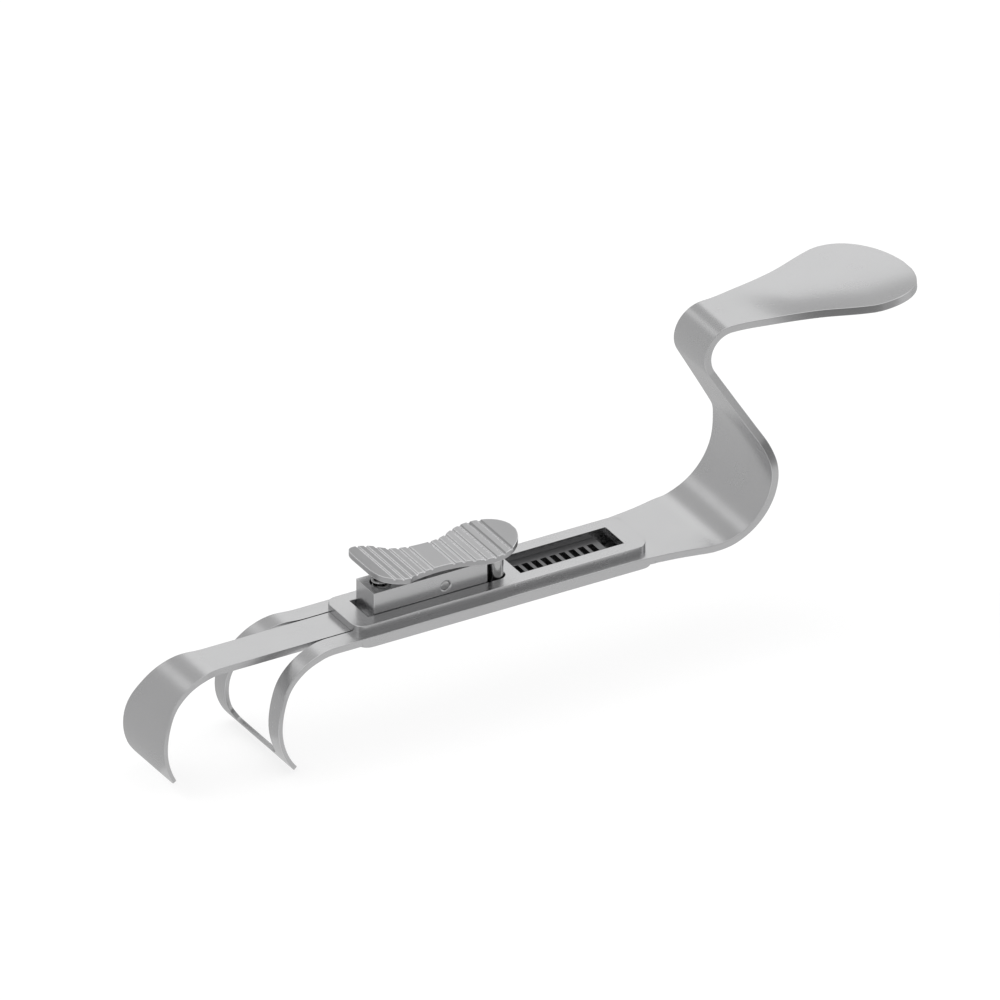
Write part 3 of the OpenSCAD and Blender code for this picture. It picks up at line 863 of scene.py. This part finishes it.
    def _spoon(self, start: float) -> list[Line]:
        """Makes the lines of the dished spoon, which starts at a place and droops to its round end."""
        s, bend = self.sizes, 0.3 * self.reach
        m, steps = self.reach - self.spoon_r, self.spoon_steps
        flare = [(0, 0), (0.27, 0.16), (0.6, 0.49), (0.86, 0.87), (1, 1)]
        side = [(f * m, self.waist + share * (self.spoon_r - self.waist)) for f, share in flare]
        hollow = [(f * self.reach, share * self.dish) for f, share in ((0.12, 0), (0.4, 0.7), (0.68, 1))]
        places = [(m * k / steps, smooth_line(side, m * k / steps), 1.0) for k in range(1, steps + 1)]
        for a in self.spoon_angles:
            share = cos(radians(a))
            places.append((m + self.spoon_r * sin(radians(a)), self.spoon_r * share, share**2))
        lines = []
        for p, half, share in places:
            f = max(0.0, p - self.reach + bend) / bend
            dish = share * smooth_line(hollow, p)
            lean = s.frame_t * sin(atan(2 * dish / half))
            z, tilt = s.deck_z + self.rise - self.droop * f * f, -degrees(atan(2 * self.droop * f / bend))
            lines.append(Line(start + p, z, tilt, half - lean, 0.5 * half, s.frame_t, dish))
        return lines


@dataclass
class SliderBlade:
    """The sliding centre blade: hook, shank and the rack's slots."""

    sizes: Sizes
    finishes: Finishes
    reach: float = 39.7
    top_z: float = 2.95
    thick: float = 1.9
    tip_t: float = 1.0
    corner: float = 2.2
    spacing: float = 2.69
    slot_length: float = 1.65
    slot_half: float = 2.15
    rack_x: float = 1.2
    before: int = 2
    behind: int = 11
    tail: float = 1.9
    ease: float = 0.05
    milled_and_shaded_from: float = -6.0
    shank_lines: tuple[float, ...] = (-74.0, -62.0, -30.0, -15.0)

    def build(self) -> None:
        """Models the blade as one strip from its tip to its tail."""
        lines = self._hook()
        holes = []
        bend_x = -self.sizes.cover_half - self.reach
        for turn, away in self.sizes.flat_turns():
            lines.append(replace(self._flat(bend_x + away), half=self.sizes.blade_half(turn)))
        lines += [self._flat(x) for x in self.shank_lines]
        for k in range(-self.before, self.behind + 1):
            x = self.rack_x + k * self.spacing
            holes.append((len(lines), len(lines) + 1))
            lines += [self._flat(x - self.slot_length / 2), self._flat(x + self.slot_length / 2)]
        lines.append(self._flat(lines[-1].x + self.tail))
        obj = BentSheet("blade_sheet", self.finishes.satin, lines, holes, ease=self.ease, steps=2).build()
        # The rack's faces take the dark milled steel: a milled finish darkened with painted shade of the window
        # over it.
        obj.data.materials.append(self.finishes.milled_and_shaded.face)
        milled_and_shaded = len(obj.data.materials) - 1
        for face in obj.data.polygons:
            if face.center.x > self.milled_and_shaded_from * MM:
                face.material_index = milled_and_shaded
        fix(obj, Body.BLADE, "slider_blade")

    def _flat(self, x: float) -> Line:
        """Makes one line of the flat shank."""
        return Line(x, self.top_z, 0.0, self.sizes.shank_half, self.slot_half, self.thick)

    def _hook(self) -> list[Line]:
        """Makes the lines of the hook from its tip to the shank."""
        s = self.sizes
        turns = [(s.blade_turn - s.turn_of(place), off) for place, off in round_end(0.0, self.corner)]
        turns += [(turn, 0.0) for turn in s.turns_from(s.blade_turn - s.turn_of(self.corner))]
        lines = []
        for turn, off in turns:
            x = -s.cover_half - self.reach - s.hook_r * sin(radians(turn))
            z = self.top_z - s.hook_r * (1 - cos(radians(turn)))
            thick = s.taper(turn, s.blade_turn, self.thick, self.tip_t)
            lines.append(Line(x, z, turn, s.blade_half(turn) - off, self.slot_half, thick))
        return lines


@dataclass
class GuidePlates:
    """The cover with its two openings, and the bottom plate."""

    sizes: Sizes
    finishes: Finishes
    half: float = 8.4
    thick: float = 2.0
    corner: float = 3.2
    rim: float = 5.4
    slot_half: float = 4.65
    slot_length: float = 40.6
    slot_corner: float = 2.5
    bridge: float = 3.4
    ease: float = 0.15
    bottom_ease: float = 0.12
    near: float = 0.1

    def build(self) -> None:
        """Models the cover and finishes the bottom plate."""
        s = self.sizes
        top = s.deck_z + self.thick
        end = s.cover_half
        slot_end = -end + self.rim + self.slot_length
        slot = [(-end + self.rim, 0.0)] + list(reversed(round_end(slot_end, -self.slot_corner)))
        window = [(slot_end + self.bridge, 0.0), (end - self.rim, 0.0)]
        lines = [self._line(x, top, off, 0.0) for x, off in round_end(-end, self.corner)]
        first = len(lines)
        lines += [self._line(x, top, 0.0, off) for x, off in slot]
        second = len(lines)
        lines += [self._line(x, top, 0.0, off) for x, off in window]
        lines += [self._line(x, top, off, 0.0) for x, off in reversed(round_end(end, -self.corner))]
        holes = [(first, second - 1), (second, second + 1)]
        coat = self.finishes.satin
        low = (top - self.near) * MM
        cover = BentSheet("cover_sheet", coat, lines, holes, ease=self.ease, seated=lambda v: v.z < low)
        fix(cover.build(), Body.FRAME, "cover_plate")
        bottom = copy_of("bottom_plate", "bottom_sheet")
        dress(bottom, coat)
        high = (s.deck_z - s.frame_t - self.near) * MM
        ease_edges(bottom, self.bottom_ease * MM, 2, seated=lambda v: v.z > high)
        fix(bottom, Body.FRAME, "bottom_plate")

    def _line(self, x: float, top: float, off: float, slot_off: float) -> Line:
        """Makes one line of the cover, less what its corners and its slot's corners take off."""
        return Line(x, top, 0.0, self.half - off, self.slot_half - slot_off, self.thick)


@dataclass
class ThumbPad:
    """The lever's pad: a shoe sole with a round nose, a waist and cross grooves."""

    finishes: Finishes
    thick: float = 1.65
    nose_x: float = -36.6
    nose_back: float = -30.2
    nose_half: float = 9.65
    nose_power: float = 2.2
    nose_bluntness: float = 0.22
    rear_x: float = -1.75
    rear_r: float = 9.35
    groove_half: float = 0.5
    groove_floor: float = 0.2
    groove_depth: float = 0.4
    front_grooves: int = 6
    rear_grooves: int = 7
    first_groove: float = -32.1
    spacing: float = 2.57
    land: float = 6.3
    ease: float = 0.16
    apart: float = 0.18
    nose_angles: tuple[int, ...] = (7, 16, 25, 34, 43, 52, 61, 70, 80, 90)
    heel_angles: tuple[int, ...] = (0, 10, 19, 28, 37, 46, 54, 62, 70, 78, 86)
    side_lines: tuple[int, ...] = tuple(range(-27, -2))
    sides: ClassVar[Table] = [
        (-28.0, 9.5), (-25.3, 7.9), (-22.5, 6.92), (-18.5, 6.25), (-14.9, 6.18), (-11.4, 6.45), (-8.26, 7.3),
        (-5.6, 8.6),
    ]
    saddle: ClassVar[Table] = [
        (-37.9, 18.75), (-34.85, 17.85), (-32.4, 17.13), (-29.12, 16.23), (-23.7, 15.09), (-16.45, 14.64),
        (-8.43, 14.4), (0.65, 15.05), (7.73, 16.15), (9.94, 16.54),
    ]

    def build(self) -> None:
        """Models the pad as a grooved strip that is filled down to a smooth underside."""
        lines, low = [], []
        for x in self._places():
            top, half = smooth_line(self.saddle, x), self._half(x)
            lines.append(Line(x, top - self._groove(x), 0.0, half, 0.5 * half, self.thick))
            low.append(top - self.thick)
        pad = BentSheet("thumb_pad", self.finishes.matt, lines, ease=self.ease, underside=low).build()
        fix(pad, Body.LEVER, "lever_pad")

    def _grooves(self) -> list[float]:
        """Lists the places of the grooves, with a plain land over the pivot."""
        places = [self.first_groove + k * self.spacing for k in range(self.front_grooves + self.rear_grooves)]
        skip = self.land - self.spacing
        return [x + (skip if k >= self.front_grooves else 0.0) for k, x in enumerate(places)]

    def _places(self) -> list[float]:
        """Lists the strip's lines: both round ends, the grooves' edges and the sides between."""
        length = self.nose_back - self.nose_x
        edges = (-self.groove_half, -self.groove_floor, self.groove_floor, self.groove_half)
        grooves = [groove + edge for groove in self._grooves() for edge in edges]
        rest = [self.nose_back - length * cos(radians(a)) for a in self.nose_angles]
        rest += [self.rear_x + self.rear_r * sin(radians(a)) for a in self.heel_angles]
        rest += [float(x) for x in self.side_lines]
        return sorted(grooves + [x for x in rest if all(abs(x - groove) > self.apart for groove in grooves)])

    def _half(self, x: float) -> float:
        """Finds the half width of the pad at a place."""
        if x < self.nose_back:
            f = (self.nose_back - x) / (self.nose_back - self.nose_x)
            return self.nose_half * (1.0 - f**self.nose_power) ** self.nose_bluntness
        if x > self.rear_x:
            return sqrt(self.rear_r**2 - (x - self.rear_x) ** 2)
        return smooth_line([(self.nose_back, self.nose_half), *self.sides, (self.rear_x, self.rear_r)], x)

    def _groove(self, x: float) -> float:
        """Finds the depth that a groove takes off the top at a place."""
        away = min(abs(x - g) for g in self._grooves())
        share = (self.groove_half - away) / (self.groove_half - self.groove_floor)
        return self.groove_depth * min(1.0, max(0.0, share))


@dataclass
class LeverGroup:
    """The lever's pawl, the block and the pin that carry the lever, and the spring."""

    finishes: Finishes
    pin_r: float = 1.25
    pin_x: float = -14.4
    pin_z: float = 7.33
    pin_half: float = 4.15
    pin_ease: float = 0.3
    block_ease: float = 0.14
    pawl_ease: float = 0.1
    spring_x: float = -30.5
    spring_r: float = 2.25
    seat_z: float = 6.0
    pressed: float = 0.72
    wire_r: float = 0.35
    turns: int = 5
    turn_steps: int = 32

    def build(self) -> None:
        """Models and dresses all the pieces of the lever."""
        self._copied("bearing_block", "pin_block", Body.FRAME, self.block_ease, self.finishes.satin)
        self._copied("pawl", "pawl_leg", Body.LEVER, self.pawl_ease, self.finishes.polished)
        self._pin()
        self._spring()

    def _copied(self, node: str, name: str, body: Body, ease: float, coat: Coat) -> None:
        """Finishes a copy of a CAD node with eased edges.

        Args:
            node: CAD node that the piece stands for.
            name: Name of the piece.
            body: Body that carries it.
            ease: Width of the eased edges in millimetres.
            coat: Steel of the piece.
        """
        piece = copy_of(node, name)
        dress(piece, coat)
        ease_edges(piece, ease * MM, 2, sharper_than=35.0)
        fix(piece, body, node)

    def _pin(self) -> None:
        """Makes the pin, with a rounded rim at each end."""
        bpy.ops.object.select_all(action="DESELECT")
        bpy.ops.mesh.primitive_cylinder_add(
            vertices=64, radius=self.pin_r * MM, depth=2 * self.pin_half * MM, end_fill_type="NGON",
            location=(self.pin_x * MM, 0.0, self.pin_z * MM), rotation=(radians(90.0), 0.0, 0.0),
        )
        pin = bpy.context.object
        pin.name = "lever_pin"
        settle(pin)
        dress(pin, self.finishes.polished)
        ease_edges(pin, self.pin_ease * MM)
        fix(pin, Body.FRAME, "pivot_pin")

    def _spring(self) -> None:
        """Winds the spring from a round of wire."""
        low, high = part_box("lever_spring")
        bpy.ops.object.select_all(action="DESELECT")
        bpy.ops.mesh.primitive_circle_add(
            vertices=12, radius=self.wire_r * MM, location=(self.spring_r * MM, 0.0, 0.0),
            rotation=(radians(90.0), 0.0, 0.0),
        )
        spring = bpy.context.object
        spring.name = "lever_coil"
        settle(spring)
        tall = high.z - low.z - 2 * self.wire_r * MM
        screw = spring.modifiers.new("winding", "SCREW")
        screw.axis = "Z"
        screw.angle = 2 * pi
        screw.iterations = self.turns
        screw.screw_offset = tall / self.turns
        screw.steps = self.turn_steps
        screw.render_steps = self.turn_steps
        screw.use_merge_vertices = True
        screw.merge_threshold = TINY
        apply_all(spring)
        open_whole(spring)
        bpy.ops.transform.translate(value=(self.spring_x * MM, 0.0, low.z + self.wire_r * MM))
        bpy.ops.mesh.select_mode(type="EDGE")
        bpy.ops.mesh.select_non_manifold()
        bpy.ops.mesh.edge_face_add()
        close_outward()
        bpy.ops.object.shade_smooth_by_angle(angle=radians(50.0))
        dress(spring, self.finishes.wire)
        fix(spring, Body.FRAME, "lever_spring")
        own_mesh(spring)


def keep_nodes(finishes: Finishes) -> None:
    """Dresses the CAD nodes that stay as they are.

    Args:
        finishes: Steels of the instrument.
    """
    for node, coat in (("lever_lug", finishes.satin), ("plate_screws", finishes.polished)):
        dress(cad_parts[node], coat)
        LOG.info("%s: kept", node)


# Studio


@dataclass
class Studio:
    """Camera, floor, light and the gray cards that the steel mirrors."""

    target: Vector = field(default_factory=lambda: Vector((0.0038, 0.0, 0.02465)))
    azimuth: float = -30.0
    elevation: float = 30.0
    frame_width: float = 0.25
    away: float = 0.9
    lamp_place: Vector = field(default_factory=lambda: Vector((-0.5, 0.5, 1.0)))
    lamp_size: float = 0.8
    lamp_energy: float = 3.0
    floor_drop: float = 0.0005
    floor_glow: float = 0.72
    floor_matt: float = 0.3
    card_drop: float = 0.0003

    def build(self) -> None:
        """Sets up the whole studio."""
        bpy.context.scene.view_settings.view_transform = "Standard"
        self._camera()
        self._world()
        self._floor()
        self._cards()

    def _camera(self) -> None:
        """Places the camera at the photograph's angle, in parallel projection."""
        a, e = radians(self.azimuth), radians(self.elevation)
        back = Vector((sin(a) * cos(e), -cos(a) * cos(e), sin(e)))
        data = bpy.data.cameras.new("camera")
        data.type = "ORTHO"
        data.ortho_scale = self.frame_width
        camera = bpy.data.objects.new("camera", data)
        bpy.context.scene.collection.objects.link(camera)
        camera.location = self.target + self.away * back
        camera.rotation_euler = back.to_track_quat("Z", "Y").to_euler()
        bpy.context.scene.camera = camera

    def _world(self) -> None:
        """Lights the object evenly from all round, in plain white."""
        world = bpy.data.worlds.new("studio")
        bpy.context.scene.world = world
        world.use_nodes = True
        background = world.node_tree.nodes["Background"]
        background.inputs["Color"].default_value = (1.0, 1.0, 1.0, 1.0)
        background.inputs["Strength"].default_value = 1.0
        lamp = bpy.data.lights.new("softbox", "AREA")
        lamp.size = self.lamp_size
        lamp.energy = self.lamp_energy
        light = bpy.data.objects.new("softbox", lamp)
        light.visible_glossy = False
        bpy.context.scene.collection.objects.link(light)
        light.location = self.lamp_place
        light.rotation_euler = self.lamp_place.to_track_quat("Z", "Y").to_euler()

    def _floor(self) -> None:
        """Lays a white floor under the hooks that still takes the object's shadow."""
        bpy.ops.object.select_all(action="DESELECT")
        bpy.ops.mesh.primitive_plane_add(size=8.0, location=(0.0, 0.0, CAD_BOX[0][2] - self.floor_drop))
        floor = bpy.context.object
        floor.name = "floor"
        self._paint(floor, self.floor_glow, self.floor_matt)

    @staticmethod
    def _paint(flat: bpy.types.Object, glow: float, matt: float | None = None) -> None:
        """Gives a flat piece of the studio its brightness.

        Args:
            flat: Floor or card.
            glow: Light that it gives off, 1 for white.
            matt: Tone of the matt face that takes shadows, none for a card.
        """
        material = bpy.data.materials.new(flat.name)
        material.use_nodes = True
        tree = material.node_tree
        tree.nodes.clear()
        out = tree.nodes.new("ShaderNodeOutputMaterial")
        light = tree.nodes.new("ShaderNodeEmission")
        light.inputs["Color"].default_value = (1.0, 1.0, 1.0, 1.0)
        light.inputs["Strength"].default_value = glow
        surface = light.outputs["Emission"]
        if matt is not None:
            base = tree.nodes.new("ShaderNodeBsdfDiffuse")
            base.inputs["Color"].default_value = (matt, matt, matt, 1.0)
            both = tree.nodes.new("ShaderNodeAddShader")
            tree.links.new(surface, both.inputs[0])
            tree.links.new(base.outputs["BSDF"], both.inputs[1])
            surface = both.outputs["Shader"]
        tree.links.new(surface, out.inputs["Surface"])
        flat.data.materials.append(material)

    def _cards(self) -> None:
        """Sets up the cards whose tones the photograph shows in the steel.

        Angles are measured from +Y towards +X.
        """
        low = CAD_BOX[0][2] - self.card_drop
        self._wall("front_card", 0.38, azimuth=180.0, distance=1.1, width=4.0, heights=(low, 2.4))
        self._wall("low_front_card", 0.2, azimuth=180.0, distance=1.05, width=0.9, heights=(low, 0.45))
        self._wall("left_card", 0.54, azimuth=-45.0, distance=1.2, width=4.5, heights=(low, 3.0))
        self._wall("right_card", 0.56, azimuth=60.0, distance=1.2, width=2.2, heights=(low, 0.6))
        self._wall("strip_card", 0.95, azimuth=-17.0, distance=1.1, width=0.26, heights=(0.66, 1.1))
        for name, tone, start, end in (
            ("near_floor_card", 0.67, -0.25, 0.0),
            ("front_floor_card", 0.38, -1.1, -0.25),
            ("back_floor_card", 0.55, 0.0, 1.2),
        ):
            middle = Vector((0.0, 0.5 * (start + end), low))
            self._card(name, tone, (4.0, end - start), middle, (0.0, 0.0, 0.0))

    def _wall(
        self, name: str, tone: float, azimuth: float, distance: float, width: float, heights: tuple[float, float]
    ) -> None:
        """Stands a card upright, facing the instrument.

        Args:
            name: Name of the card.
            tone: Brightness of the card, 1 for white.
            azimuth: Direction of its middle in degrees.
            distance: Distance of its middle.
            width: Its width.
            heights: Heights of its lower and upper edge.
        """
        a = radians(azimuth)
        middle = Vector((distance * sin(a), distance * cos(a), 0.5 * (heights[0] + heights[1])))
        self._card(name, tone, (width, heights[1] - heights[0]), middle, (90.0, 0.0, -azimuth))

    def _card(
        self, name: str, tone: float, size: tuple[float, float], place: Vector, turn: tuple[float, float, float]
    ) -> None:
        """Adds a gray card that only the steel's reflections see.

        Args:
            name: Name of the card.
            tone: Brightness of the card, 1 for white.
            size: Width and height in metres.
            place: Centre of the card.
            turn: Turn of the card in degrees.
        """
        bpy.ops.object.select_all(action="DESELECT")
        bpy.ops.mesh.primitive_plane_add(size=1.0, location=place, rotation=tuple(radians(t) for t in turn))
        card = bpy.context.object
        card.name = name
        card.scale = (size[0], size[1], 1.0)
        settle(card)
        card.visible_camera = False
        card.visible_diffuse = False
        card.visible_shadow = False
        card.visible_transmission = False
        self._paint(card, tone)


def main() -> None:
    """Builds the instrument piece by piece, then the studio round it."""
    finishes = Finishes.make()
    sizes = Sizes()
    BaseFrame(sizes, finishes).build()
    SliderBlade(sizes, finishes).build()
    GuidePlates(sizes, finishes).build()
    ThumbPad(finishes).build()
    LeverGroup(finishes).build()
    keep_nodes(finishes)
    Studio().build()


if __name__ == "__main__":
    main()
